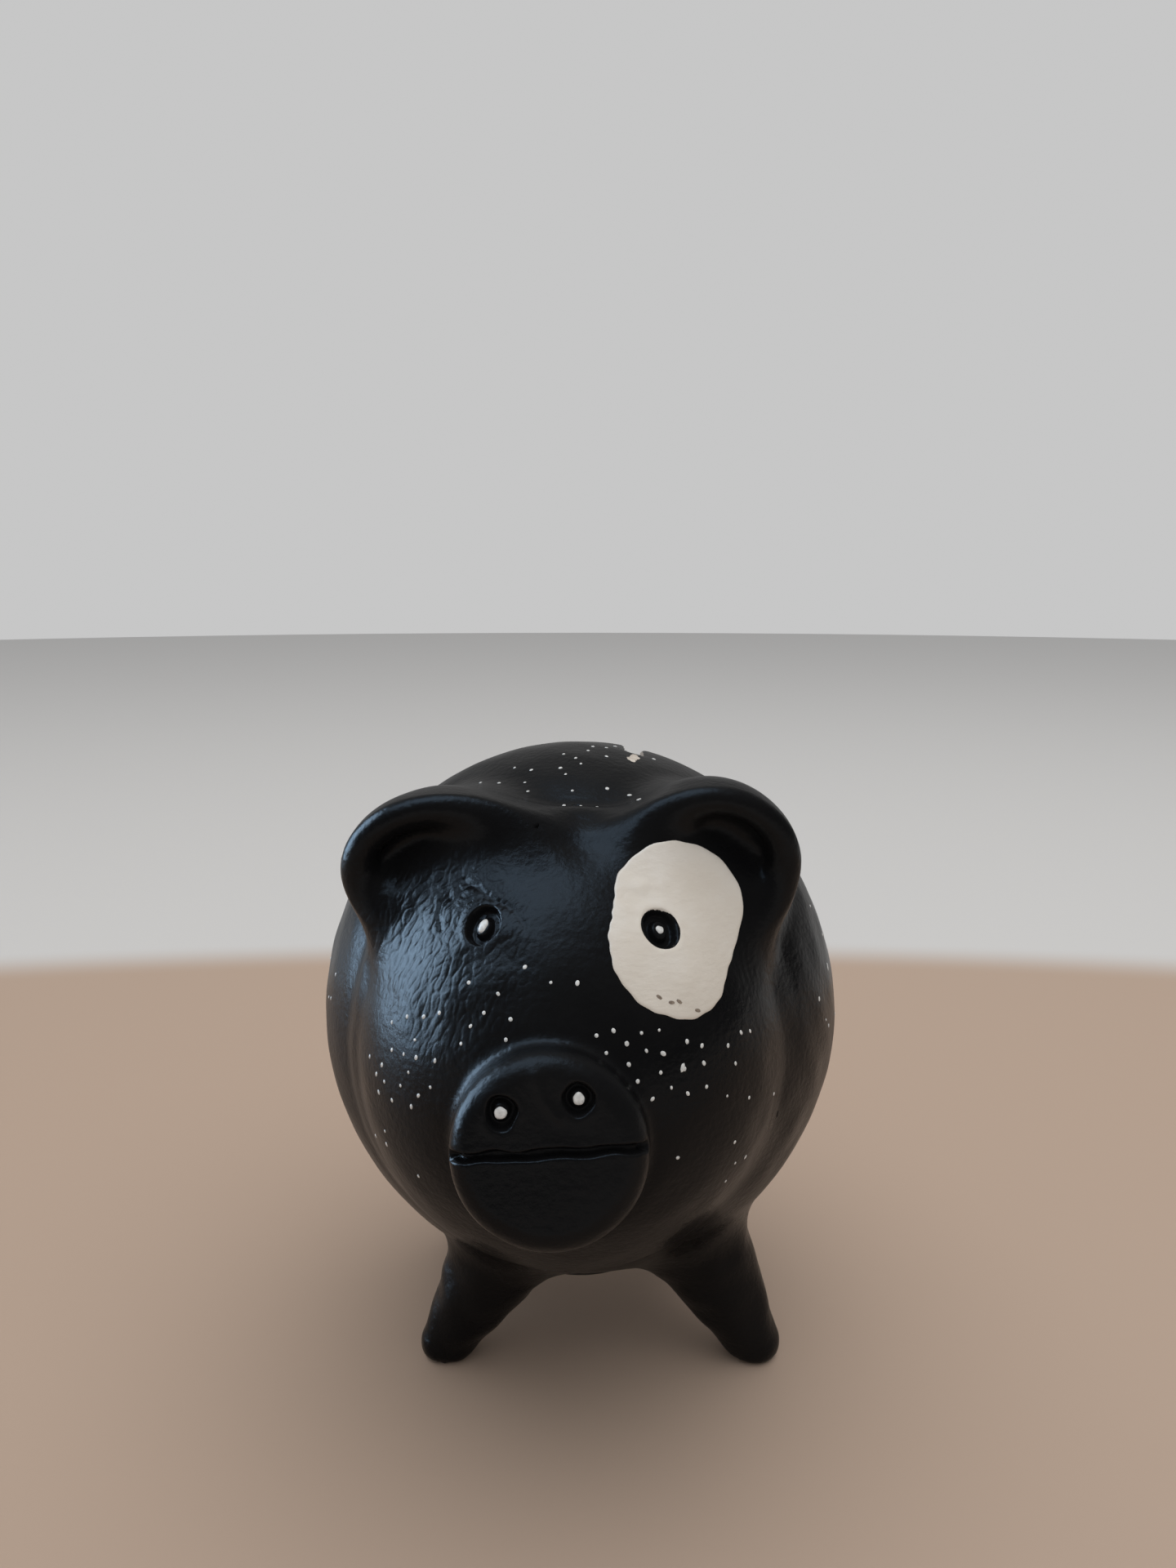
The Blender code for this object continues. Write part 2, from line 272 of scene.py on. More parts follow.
def tail(points):
    """Distance to a tapered coil, worked out only near it."""
    found = np.full(len(points), TAIL_REACH)
    near = np.linalg.norm(points - TAIL.mean(axis=0), axis=1) < TAIL_REACH
    close = points[near]
    nearest = np.full(len(close), TAIL_REACH)
    for index in range(TAIL_POINTS - 1):
        start, run = TAIL[index], TAIL[index + 1] - TAIL[index]
        share = np.clip((close - start) @ run / (run @ run), 0, 1)
        place = (index + share) / (TAIL_POINTS - 1)
        wire = TAIL_WIRE * (1 - TAIL_TAPER * place**2)
        away = np.linalg.norm(close - start - share[:, None] * run, axis=1)
        nearest = np.minimum(nearest, away - wire)
    found[near] = nearest
    return found


def distances(points):
    """Each part's own distance."""
    found = {
        "body": egg(points, 0, BALL_SIZE),
        "head": head(points),
        "snout": snout(points),
    }
    for name, shape in EARS.items():
        found[name] = ear(points, *shape)
    for name, ends in LEGS.items():
        found[name] = leg(points, *ends)
    found["tail"] = tail(points)
    return found


def clay(points):
    """The whole bank's outer surface, at 0."""
    part = distances(points)
    solid = melt(part["body"], part["head"], NECK_FILLET)
    for name, fillet in FILLETS.items():
        solid = melt(solid, part[name], fillet)
    behind, front = EAR_FILLETS
    ear_fillet = behind + (front - behind) * step_up(-points[:, 1], *EAR_FILLET_REACH)
    for name in EARS:
        solid = melt(solid, part[name], ear_fillet)
    for name in LEGS:
        solid = melt(solid, part[name], LEG_FILLET)
    return np.maximum(solid, FLOOR - points[:, 2])


def slope_of(field, points):
    """The field's gradient."""
    found = np.empty_like(points)
    for axis in range(3):
        step = np.zeros(3)
        step[axis] = SLOPE_STEP
        found[:, axis] = (field(points + step) - field(points - step)) / (2 * SLOPE_STEP)
    return found


def settle(points, rounds=3):
    """Moves points onto the clay's surface along its slope."""
    for _ in range(rounds):
        slope = slope_of(clay, points)
        steepness = np.maximum((slope**2).sum(axis=1), GENTLEST_CLAY)
        points = points - (clay(points) / steepness)[:, None] * slope
    return points


def surface_net(field, low, high, step):
    """Quads around field = 0 on an even grid: one point in each cell that the surface crosses."""
    axes = [np.arange(low[axis], high[axis] + step, step) for axis in range(3)]
    side, rise = np.meshgrid(axes[1], axes[2], indexing="ij")
    value = np.empty([len(axis) for axis in axes])
    for index, across in enumerate(axes[0]):
        sheet = np.column_stack((np.full(side.size, across), side.ravel(), rise.ravel()))
        value[index] = field(sheet).reshape(side.shape)
    strides = np.array((value.shape[1] * value.shape[2], value.shape[2], 1))
    cells, places = [], []
    for axis in range(3):
        count = value.shape[axis] - 1
        here = value.take(range(count), axis)
        there = value.take(range(1, count + 1), axis)
        crossed = np.argwhere((here < 0) != (there < 0))
        near, far = here[tuple(crossed.T)], there[tuple(crossed.T)]
        place = crossed.astype(float)
        place[:, axis] += near / (near - far)
        back, down = np.eye(3, dtype=int)[[(axis + 1) % 3, (axis + 2) % 3]]
        corners = (crossed, crossed - back, crossed - back - down, crossed - down)
        around = np.stack(corners, axis=1) @ strides
        around[near > 0] = around[near > 0][:, ::-1]
        cells.append(around)
        places.append(np.repeat(place, 4, axis=0))
    cells, places = np.concatenate(cells), np.concatenate(places)
    _, index = np.unique(cells, return_inverse=True)
    index = index.reshape(-1)
    total = np.column_stack([np.bincount(index, places[:, axis]) for axis in range(3)])
    points = total / np.bincount(index)[:, None]
    return np.array(low) + step * points, index.reshape(-1, 4)


def waves(points, length, seed):
    """A smooth field of hand-made unevenness between about -1 and 1."""
    random = np.random.default_rng(seed)
    total = np.zeros(len(points))
    for _ in range(WAVE_COUNT):
        direction = random.normal(size=3)
        direction *= 2 * math.pi / length / np.linalg.norm(direction)
        total += np.sin(points @ direction + random.uniform(0, 2 * math.pi))
    return total / math.sqrt(WAVE_COUNT)


# Marks in the wet clay.
EYE_STAMP = (1.35 * MM, 2.8 * MM)
NOSTRIL_STAMP = (1.1 * MM, 2.1 * MM)
STAMP_TALLNESS = 1.15
STAMP_DEPTH = 1.5 * MM
STAMP_CORE_DROP = 0.35 * MM
STAMP_BLUR = 0.35 * MM
STAMP_WOBBLE = 0.15 * MM
STAMP_WOBBLE_LENGTH = 3.5 * MM
STAMP_LIP = 0.08 * MM
STAMP_REACH = 10 * MM
NOSTRILS = ((-0.135, 0.120), (0.087, 0.160))
EYE_LINES = (at(-0.300, 0.989, 0.602), at(0.256, 0.992, 0.590))
EYE_PUSH = at(0, 0.6, 0)
MOUTH_RISE = 0.006
MOUTH_TURN = math.tan(math.radians(3))
MOUTH_HALF = 0.6 * MM
MOUTH_DEPTH = 1.5 * MM
MOUTH_LIP = 0.03 * MM
MOUTH_WOBBLE = 0.12 * MM
MOUTH_WOBBLE_LENGTH = 1.3 * MM
MOUTH_UNEVENNESS = 0.15
MOUTH_UNEVEN_LENGTH = 4 * MM
MOUTH_REACH = 0.4
MARK_BACK = (-3 * MM, -2 * MM)
FOLD = ((-0.038, 0.226), (-0.009, 0.149), (0.029, 0.104))
FOLD_HALF = 0.016
FOLD_RISE = 0.28 * MM

# Creases in the brow, as lines of (across, up).
CREASES = (
    ((-0.37, 0.70), (-0.32, 0.69), (-0.26, 0.665), (-0.20, 0.65), (-0.165, 0.615)),
    ((-0.175, 0.755), (-0.15, 0.72), (-0.15, 0.68), (-0.175, 0.65)),
    ((-0.42, 0.655), (-0.445, 0.63), (-0.45, 0.60), (-0.44, 0.57)),
)
CREASE_HALF = 0.45 * MM
CREASE_DEPTH = 0.24 * MM
WRINKLE_CENTRE = (-0.42, 0.50)
WRINKLE_SPREAD = (0.20, 0.36)
WRINKLE_FRONT = (0.5, 0.7)
WRINKLE_LENGTH = 2.4 * MM
WRINKLE_DEPTH = 0.05 * MM
WRINKLE_SHARPNESS = 0.5
WRINKLE_STRETCH = (1, 1, 0.6)
LUMP_LENGTH = 7 * MM
LUMP_RISE = 0.09 * MM
LEG_LUMP_LENGTH = 6.5 * MM
LEG_LUMP_RISE = 0.14 * MM
LEG_REACH = (0.8, 0.9)
OFF_BODY = (2 * MM, 5 * MM)
OFF_SNOUT = (0.5 * MM, 4 * MM)
OFF_HOLE = (3 * MM, 12 * MM)
SNOUT_EVENNESS = 0.35
BROAD_RISE = 0.22 * MM
BROAD_LENGTH = 0.75
SMALL_RISE = 0.05 * MM
SMALL_LENGTH = 0.16
SMOOTH_SOLE = 0.5 * MM
SLOT_WOBBLE = 0.12 * MM
SLOT_WOBBLE_LENGTH = 3 * MM


def on_egg(shape, way):
    """The place on an egg in a direction from its centre, and the normal there."""
    centre, size = shape
    offset = way / np.linalg.norm(way / size)
    return centre + offset, unit(offset / size**2)


EYES = [on_egg(HEAD, place - HEAD_CENTRE) for place in EYE_LINES]
NOSES = [(SNOUT_FACE + (across, 0, 0) + up * SNOUT_UP, SNOUT_AHEAD) for across, up in NOSTRILS]

# The tube was pushed in from the front, so its rings on the sloping brow are drawn out.
EYE_AXES = [unit(normal + EYE_PUSH) for _, normal in EYES]


def stamp(points, place, axis, radii):
    """The ring that a cut tube leaves: a groove, its core, and a little clay pushed up round it."""
    inner, outer = radii
    offset = points - place
    aside = (offset - (offset @ axis)[:, None] * axis) / (1, 1, STAMP_TALLNESS)
    away = np.linalg.norm(aside, axis=1) + STAMP_WOBBLE * waves(points, STAMP_WOBBLE_LENGTH, SEED + 2)
    near = step_up(-np.linalg.norm(points - place, axis=1), -STAMP_REACH, -STAMP_REACH / 2)
    core = 1 - step_up(away, inner - STAMP_BLUR, inner + STAMP_BLUR)
    hole = 1 - step_up(away, outer - STAMP_BLUR, outer + STAMP_BLUR)
    lip = np.exp(-(((away - outer - 2 * STAMP_BLUR) / (2 * STAMP_BLUR)) ** 2))
    depth = STAMP_DEPTH + (STAMP_CORE_DROP - STAMP_DEPTH) * core
    return near * (STAMP_LIP * lip - depth * hole)


def mouth_line(across):
    """The height of the mouth's wavering cut on the snout's face."""
    wobble = MOUTH_WOBBLE * np.sin(across / MOUTH_WOBBLE_LENGTH + 1)
    return MOUTH_RISE + MOUTH_TURN * across + wobble


def mouth(points):
    across, up, ahead = on_snout(points)
    offset = up - mouth_line(across)
    there = step_up(ahead, *MARK_BACK)
    half = MOUTH_HALF * (1 + MOUTH_UNEVENNESS * waves(points, MOUTH_UNEVEN_LENGTH, SEED + 3))
    groove = 1 - step_up(np.abs(offset), half / 2, 3 * half / 2)
    lips = np.exp(-(((np.abs(offset) - 2 * MOUTH_HALF) / MOUTH_HALF) ** 2))
    return there * (MOUTH_LIP * lips - MOUTH_DEPTH * groove)


def from_line(flat, line):
    """Distance from a line of straight runs, in two dimensions."""
    away = np.full(len(flat), 1.0)
    for start, end in zip(np.array(line), np.array(line[1:])):
        share = np.clip((flat - start) @ (end - start) / ((end - start) @ (end - start)), 0, 1)
        away = np.minimum(away, np.linalg.norm(flat - start - share[:, None] * (end - start), axis=1))
    return away


def fold(points):
    """A short crooked ridge between the nostrils."""
    across, up, ahead = on_snout(points)
    away = from_line(np.column_stack((across, up)), FOLD)
    return step_up(ahead, *MARK_BACK) * FOLD_RISE * np.exp(-((away / FOLD_HALF) ** 2))


def wrinkles(points):
    """The folded, leathery clay round the eye that has no patch."""
    flat = points[:, [0, 2]]
    away = np.linalg.norm(flat - WRINKLE_CENTRE, axis=1)
    near = (1 - step_up(away, *WRINKLE_SPREAD)) * step_up(-points[:, 1], *WRINKLE_FRONT)
    total = LUMP_RISE * waves(points, LUMP_LENGTH, SEED + 8)
    for seed in (SEED + 4, SEED + 5):
        crossing = waves(points * WRINKLE_STRETCH, WRINKLE_LENGTH, seed)
        total -= WRINKLE_DEPTH * np.exp(-((crossing / WRINKLE_SHARPNESS) ** 2))
    for line in CREASES:
        total -= CREASE_DEPTH * np.exp(-((from_line(flat, line) / CREASE_HALF) ** 2))
    return near * total


def slot_gap(points):
    """Distance from the coin slot's outline, on top of the ball."""
    across = np.abs(points[:, 0] - SLOT_CENTRE[0]) - SLOT_HALF[0] + SLOT_CORNER
    along = np.abs(points[:, 1] - SLOT_CENTRE[1]) - SLOT_HALF[1] + SLOT_CORNER
    outside = np.hypot(np.maximum(across, 0), np.maximum(along, 0))
    outline = np.minimum(np.maximum(across, along), 0) + outside - SLOT_CORNER
    outline += SLOT_WOBBLE * waves(points, SLOT_WOBBLE_LENGTH, SEED)
    return np.where(points[:, 2] > 0, outline, 1.0)


def hole_gap(points):
    """Distance from the stopper's hole, under the ball."""
    outline = np.hypot(points[:, 0], points[:, 1]) - HOLE_RADIUS
    return np.where(points[:, 2] < 0, outline, 1.0)


def lip(gap):
    """Rounds the surface down into an opening."""
    return -LIP_DROP * np.clip(1 - gap / LIP_WIDTH, 0, 1) ** 2


def unevenness(points, body):
    """Broad and small lumps everywhere but round the stopper's hole, and larger ones on the legs."""
    off_snout = step_up(snout(points), *OFF_SNOUT)
    off_hole = step_up(hole_gap(points), *OFF_HOLE)
    broad = SNOUT_EVENNESS + (1 - SNOUT_EVENNESS) * off_snout
    total = BROAD_RISE * waves(points, BROAD_LENGTH, SEED) * broad * off_hole
    total += SMALL_RISE * waves(points, SMALL_LENGTH, SEED + 1) * off_hole
    on_leg = step_up(-points[:, 2], *LEG_REACH) * step_up(body, *OFF_BODY)
    return total + LEG_LUMP_RISE * on_leg * waves(points, LEG_LUMP_LENGTH, SEED + 9)


def relief(points):
    """How far the finished surface stands above the smooth clay."""
    body = egg(points, 0, BALL_SIZE)
    total = unevenness(points, body)
    for (place, _), axis in zip(EYES, EYE_AXES):
        total += stamp(points, place, axis, EYE_STAMP)
    for nose in NOSES:
        total += stamp(points, *nose, NOSTRIL_STAMP)
    total += mouth(points) + fold(points) + wrinkles(points)
    on_ball = body < 1 * MM
    total += np.where(on_ball, lip(slot_gap(points)) + lip(hole_gap(points)), 0)
    return np.where(points[:, 2] < FLOOR + SMOOTH_SOLE, 0, total)


def finished(points):
    """Points of the smooth clay moved onto the finished surface."""
    return points + relief(points)[:, None] * unit(slope_of(clay, points))


# Splitting the clay into pieces. The mesh is made finer near the marks, and finer again close to them.
OPENINGS = {"slot": slot_gap, "hole": hole_gap}
SMOOTHING_ROUNDS = 3
LONGEST_SLIDE = 0.6 * GRID_STEP
FINER_REACH = 6 * MM
FINEST_REACH = 3.4 * MM
HOLE_WALL_REACH = 0.6
SHARP_ANGLE = math.radians(50)


def part_names(points):
    """The part that each point belongs to, with the openings counted as parts."""
    part = distances(points)
    names = np.array(list(part))
    found = names[np.argmin(np.array(list(part.values())), axis=0)]
    for name, gap in OPENINGS.items():
        found = np.where((found == "body") & (gap(points) < 0), name, found)
    return found


def border(one, other):
    """A field that is 0 on the line between two parts."""
    for name, gap in OPENINGS.items():
        if name in (one, other):
            return gap
    return lambda points: distances(points)[one] - distances(points)[other]


def smooth_points(points, quads, rounds):
    """Evens out a mesh while it stays on the clay."""
    edges = np.concatenate((quads, np.roll(quads, 1, axis=1))).reshape(2, -1)
    count = np.bincount(edges.ravel(), minlength=len(points))
    for _ in range(rounds):
        total = np.zeros_like(points)
        for one, other in (edges, edges[::-1]):
            for axis in range(3):
                total[:, axis] += np.bincount(one, points[other, axis], len(points))
        points = settle((points + total / count[:, None]) / 2, 1)
    return points


def refine(points, faces, chosen):
    """Cuts the chosen faces into four."""
    shape = bmesh.new()
    for point in points:
        shape.verts.new(point)
    shape.verts.ensure_lookup_table()
    for face in faces:
        shape.faces.new([shape.verts[index] for index in face])
    shape.faces.ensure_lookup_table()
    edges = {edge for index in np.flatnonzero(chosen) for edge in shape.faces[index].edges}
    bmesh.ops.subdivide_edges(shape, edges=list(edges), cuts=1, use_grid_fill=True)
    shape.verts.index_update()
    points = np.array([vert.co for vert in shape.verts])
    faces = [[vert.index for vert in face.verts] for face in shape.faces]
    shape.free()
    return points, faces


def centres_of(points, faces):
    """The middle of each face."""
    return np.array([points[face].mean(axis=0) for face in faces])


def near_wrinkles(points):
    """Which points lie in the wrinkled brow."""
    away = np.linalg.norm(points[:, [0, 2]] - WRINKLE_CENTRE, axis=1)
    return (away < WRINKLE_SPREAD[1]) & (points[:, 1] < -WRINKLE_FRONT[0])


def near_marks(points, reach):
    """Which points lie near a stamp or the mouth."""
    away = [np.linalg.norm(points - place, axis=1) for place, _ in EYES + NOSES]
    across, up, ahead = on_snout(points)
    near_mouth = (np.abs(up - mouth_line(across)) < reach / 2) & (np.abs(across) < MOUTH_REACH)
    return (np.min(away, axis=0) < reach) | (near_mouth & (ahead > MARK_BACK[1]))


def clay_mesh():
    """The whole smooth clay: points, faces and the part of each face."""
    low = (np.array(CAD_LOW) - CENTRE) / RADIUS - GRID_MARGIN
    high = (np.array(CAD_HIGH) - CENTRE) / RADIUS + GRID_MARGIN
    points, quads = surface_net(clay, low, high, GRID_STEP)
    points = smooth_points(settle(points), quads, SMOOTHING_ROUNDS)
    centres = points[quads].mean(axis=1)
    chosen = near_marks(centres, FINER_REACH) | near_wrinkles(centres) | (snout(centres) < 2 * MM)
    points, faces = refine(points, quads, chosen)
    centres = centres_of(points, faces)
    points, faces = refine(points, faces, near_marks(centres, FINEST_REACH) | near_wrinkles(centres))
    points = settle(points)
    names = part_names(centres_of(points, faces))
    return slide_borders(points, faces, names), faces, names


def slide_borders(points, faces, names):
    """Moves the points between two parts onto the smooth line between them."""
    sides = [set() for _ in points]
    for face, name in zip(faces, names):
        for index in face:
            sides[index].add(str(name))
    pairs = {}
    for index, side in enumerate(sides):
        if len(side) == 2:
            pairs.setdefault(tuple(sorted(side)), []).append(index)
    for pair, chosen in pairs.items():
        field = border(*pair)
        moved = points[chosen]
        for _ in range(2):
            slope = slope_of(field, moved)
            normal = slope_of(clay, moved)
            slope -= (slope * normal).sum(axis=1)[:, None] * normal / (normal**2).sum(axis=1)[:, None]
            steepness = np.maximum((slope**2).sum(axis=1), GENTLEST_BORDER)
            shift = (field(moved) / steepness)[:, None] * slope
            too_long = np.maximum(np.linalg.norm(shift, axis=1) / LONGEST_SLIDE, 1)
            moved = settle(moved - shift / too_long[:, None], 1)
        points[chosen] = moved
    return points


def under_ball(points):
    """The body's inner wall behind points of its skin. Round the stopper's hole it runs straight up."""
    inner = BALL_SIZE - WALL
    found = points / np.linalg.norm(points / inner, axis=1)[:, None]
    aside = np.hypot(points[:, 0], points[:, 1])
    share = step_up(aside, HOLE_RADIUS, HOLE_WALL_REACH)
    low = (points[:, 2] < 0) & (aside < HOLE_WALL_REACH)
    scale = 1 - share * (1 - inner[0] / np.linalg.norm(points / BALL_SIZE, axis=1))
    flat = points[:, :2] * scale[:, None]
    depth = -inner[2] * np.sqrt(np.maximum(1 - (flat**2).sum(axis=1) / inner[0] ** 2, 0))
    return np.where(low[:, None], np.column_stack((flat, depth)), found)


def under_dome(points):
    """The head's inner wall behind points of its skin."""
    offset = points - HEAD_CENTRE
    return HEAD_CENTRE + offset / np.linalg.norm(offset / (HEAD_SIZE - WALL), axis=1)[:, None]


def new_object(name, points, faces):
    """A smooth-shaded mesh object from places in body radii."""
    mesh = bpy.data.meshes.new(name)
    mesh.from_pydata(to_metres(points).tolist(), [], [list(map(int, face)) for face in faces])
    mesh.shade_smooth()
    obj = bpy.data.objects.new(name, mesh)
    bpy.context.scene.collection.objects.link(obj)
    return obj


def rim_of(faces):
    """The open edges of some faces, each running as its face does."""
    edges = {(a, b) for face in faces for a, b in zip(face, np.roll(face, -1))}
    return [(a, b) for a, b in edges if (b, a) not in edges]


def hollow(points, faces, inner_points):
    """Closes a skin into a wall: its inner side, and a strip round each opening."""
    count = len(points)
    inner = [[index + count for index in face][::-1] for face in faces]
    strips = [[b, a, a + count, b + count] for a, b in rim_of(faces)]
    return np.concatenate((points, inner_points)), faces + inner + strips


def anchors():
    """A place inside the clay behind each solid part, where its open end is closed to."""
    found = {"snout": SNOUT_FACE - SNOUT_ROOT * SNOUT_AHEAD, "tail": TAIL_ROOT * TAIL.mean(axis=0)}
    for name, (centre, _, _) in EARS.items():
        found[name] = centre + EAR_ROOT
    for name, (_, hip) in LEGS.items():
        found[name] = hip
    return found


def capped(points, faces, anchor):
    """Closes a skin with a fan of faces from its open edge to a place inside the clay."""
    fan = [[b, a, len(points)] for a, b in rim_of(faces)]
    return np.concatenate((points, anchor[None])), faces + fan


def keep_normals(obj, normals, skin_faces):
    """Gives the skin of a piece the normals of the whole clay, so that no seam shows at its edge."""
    mesh = obj.data
    mesh.set_sharp_from_angle(angle=SHARP_ANGLE)
    corners = np.zeros((len(mesh.loops), 3))
    vertices = np.empty(len(mesh.loops), dtype=int)
    mesh.loops.foreach_get("vertex_index", vertices)
    skin_corners = sum(len(polygon.vertices) for polygon in mesh.polygons[:skin_faces])
    corners[:skin_corners] = normals[vertices[:skin_corners]]
    mesh.normals_split_custom_set(corners.tolist())


def build_clay():
    """One closed piece for each part of the bank."""
    smooth, faces, names = clay_mesh()
    points = finished(smooth)
    whole = new_object("whole", points, faces)
    normals = np.empty(len(points) * 3)
    whole.data.vertex_normals.foreach_get("vector", normals)
    normals = normals.reshape(-1, 3)
    bpy.data.objects.remove(whole)
    inner_walls = {"body": under_ball, "head": under_dome}
    ends = anchors()
    pieces = {}
    for name in distances(points[:1]):
        skin = [faces[index] for index in np.flatnonzero(names == name)]
        used, index = np.unique(np.concatenate(skin), return_inverse=True)
        new_index = dict(zip(used.tolist(), range(len(used))))
        skin = [[new_index[int(vertex)] for vertex in face] for face in skin]
        own, own_normals = points[used], normals[used]
        if name in inner_walls:
            own, all_faces = hollow(own, skin, inner_walls[name](smooth[used]))
        else:
            own, all_faces = capped(own, skin, ends[name])
        obj = new_object(name + "_clay", own, all_faces)
        bare = np.arange(len(obj.data.polygons)) >= len(skin)
        obj.data.polygons.foreach_set("material_index", bare.astype(np.int32))
        keep_normals(obj, own_normals, len(skin))
        pieces[name] = obj
    return pieces


# Paint laid on the clay in spots: each is a closed lens that follows the finished surface.
SPOT_SINK = 0.25 * MM
DOME_SINK = 0.2

# The patch's reach from the eye in mm, at every 30 degrees from the pig's left, upwards first.
PATCH_REACH = (17.6, 19.2, 16.2, 12.8, 9.3, 8.0, 9.2, 11.2, 13.2, 14.3, 14.3, 13.8)
PATCH_RIPPLES = ((0.10 * MM, 11, 0), (0.07 * MM, 25, 1))
PATCH_HOLE = 3.3 * MM
PATCH_THICKNESS = 0.22 * MM
PATCH_RINGS = 44
PATCH_SPOKES = 160
PATCH_LUMPS = (at(0.22, 0.95, 0.70), 0.11)
PATCH_EDGES = (0.08, 0.05)
PATCH_STROKE_LENGTH = 2.4 * MM
PATCH_STROKE_RISE = 0.05
PATCH_STROKE_STRETCH = (1, 1, 2.2)
PATCH_LUMP_LENGTH = 3.6 * MM
PATCH_LUMP_RISE = 0.9
PATCH_LUMP_LOWEST = -0.4
PATCH_SINK = 0.35
DAB_THICKNESS = 0.30 * MM
DAB_RINGS = 6
DAB_SPOKES = 28
DAB_WOBBLE = (0.03, 0.02)
DAB_REACHES = ((0.75, 1.25), (0.72, 0.72), (0.92, 0.88), (0.82, 0.92))
FRECKLE_THICKNESS = 0.13 * MM
FRECKLE_RINGS = 3
FRECKLE_SPOKES = 12
FRECKLE_RADIUS = (0.24 * MM, 0.40 * MM)
FRECKLE_GAP = 2.6 * MM
FRECKLE_STRETCH = (1.0, 1.5)
FRECKLE_LEAN = (math.pi / 2, 0.5)
FRECKLE_OFF_CLAY = 1.2 * MM
CLEAR_OF = {"snout": 1 * MM, "eye": 4 * MM, "tail": 2 * MM, "slot": 1.5 * MM, "patch": 0.6 * MM}
STREAK_RADIUS = 0.38 * MM
STREAK_LEAN = 1.2
FLECK_RADIUS = 0.26 * MM
FLECK_STRETCH = 2.2
FLECK_LEAN = (2.2, 2.9)
FLECK_RISE = 0.85 * PATCH_THICKNESS

# Freckles by area: the egg they lie on, how many, the middle's bearing and elevation from the egg's centre,
# how far they spread each way in degrees, and how much the area slants down to the pig's left.
FRECKLE_AREAS = (
    (HEAD, 21, (-42, 10), (18, 12), -0.3),
    (HEAD, 5, (-12, 31), (16, 5), 0.0),
    (HEAD, 4, (-16, 22), (8, 4), 0.0),
    (HEAD, 19, (19, 14), (17, 8), 0.2),
    (HEAD, 4, (42, 16), (9, 7), 0.2),
    (HEAD, 8, (42, -8), (20, 16), 0.0),
    (HEAD, 4, (-50, -18), (12, 10), 0.0),
    (BALL, 15, (-14, 64), (44, 12), 0.0),
    (BALL, 8, (40, 80), (70, 8), 0.0),
    (BALL, 9, (74, 12), (16, 28), 0.0),
    (BALL, 8, (-78, 8), (14, 26), 0.0),
    (BALL, 34, (180, 34), (80, 32), 0.0),
)
STREAKS = ((BALL, (20, 57), 2.2), (BALL, (73, 13), 2.6), (HEAD, (26, 12), 2.2))
FLECKS = ((0.23, 0.40), (0.27, 0.385), (0.30, 0.39), (0.37, 0.365))
FLECK_FORWARD = 1.1


def towards(bearing, elevation):
    """A direction by its angles in degrees."""
    turn, lift = np.radians((bearing, elevation))
    return at(np.sin(turn) * np.cos(lift), np.cos(turn) * np.cos(lift), np.sin(lift))


def dropped(points, directions, rounds=8):
    """Points moved along a direction until they meet the clay."""
    for _ in range(rounds):
        slope = (slope_of(clay, points) * directions).sum(axis=1)
        points = points - (clay(points) / np.maximum(slope, GENTLEST_DROP))[:, None] * directions
    return points


def spots(name, places, normals, reaches, rings, thickness, hole=0, ground=relief):
    """Round patches of paint. Each has its reach along evenly turned spokes, and may have a hole."""
    places, normals, reaches = map(np.array, (places, normals, reaches))
    count, spokes = reaches.shape
    right = unit(np.cross(at(0, 0, 1), normals))
    upright = np.cross(normals, right)
    turn = turns_round(spokes)
    share = np.arange(0 if hole else 1, rings + 1) / rings
    reach = hole + share[None, :, None] * (reaches[:, None, :] - hole)
    along = right[:, None, None, :] * (reach * np.cos(turn))[..., None]
    along += upright[:, None, None, :] * (reach * np.sin(turn))[..., None]
    grid = (places[:, None, None, :] + along).reshape(-1, 3)
    ways = np.broadcast_to(normals[:, None, None, :], along.shape).reshape(-1, 3)
    grid = dropped(grid, ways)
    normal = unit(slope_of(clay, grid))
    skin = grid + ground(grid)[:, None] * normal
    edge = np.broadcast_to(share[None, :, None], reach.shape).reshape(-1)
    top = skin + thickness(grid, edge)[:, None] * normal
    bottom = skin - SPOT_SINK * normal
    faces = spot_faces(count, len(share), spokes, bool(hole))
    return new_object(name, np.concatenate((top, bottom)), faces)


def spot_faces(count, rings, spokes, holed):
    """Faces for the top, the underside and the edges of some round patches."""
    faces = []
    under = count * rings * spokes
    ring_of = np.arange(under).reshape(count, rings, spokes)
    for spot in ring_of:
        for inner, outer in zip(spot, spot[1:]):
            for a, b, c, d in zip(inner, outer, np.roll(outer, -1), np.roll(inner, -1)):
                faces += [[a, b, c, d], [d + under, c + under, b + under, a + under]]
        faces += [[a, a + under, b + under, b] for a, b in zip(spot[-1], np.roll(spot[-1], -1))]
        if holed:
            faces += [[b, b + under, a + under, a] for a, b in zip(spot[0], np.roll(spot[0], -1))]
        else:
            faces += [list(spot[0]), list(spot[0][::-1] + under)]
    return faces


def domed(height):
    """A thickness that falls away to the edge."""
    return lambda points, edge: height * np.sqrt(np.maximum(1 - edge**2, 0)) - DOME_SINK * height


